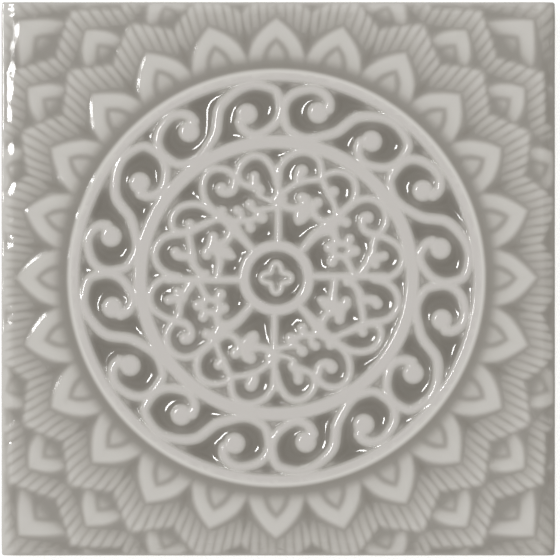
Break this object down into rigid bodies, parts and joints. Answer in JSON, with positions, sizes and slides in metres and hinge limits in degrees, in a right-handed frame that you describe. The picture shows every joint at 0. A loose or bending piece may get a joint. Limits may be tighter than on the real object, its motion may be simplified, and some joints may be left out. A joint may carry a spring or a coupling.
{
  "type": "relief glazed wall tile",
  "caption": "Square glazed ceramic tile with a carved relief: a round scrollwork medallion and scroll frieze set in rays of petals and zigzags.",
  "frame": {"origin": "centre of the flat back face, where the tile lies on the floor or meets its adhesive bed", "axes": "+Z out of the relief face along the tile's thickness; +X and +Y along its two equal sides"},
  "size_m": [0.148, 0.148, 0.0099],
  "materials": {
    "glaze": "gloss"
  },
  "bodies": {
    "root": {"relief_tile": "glaze"}
  },
  "joints": []
}
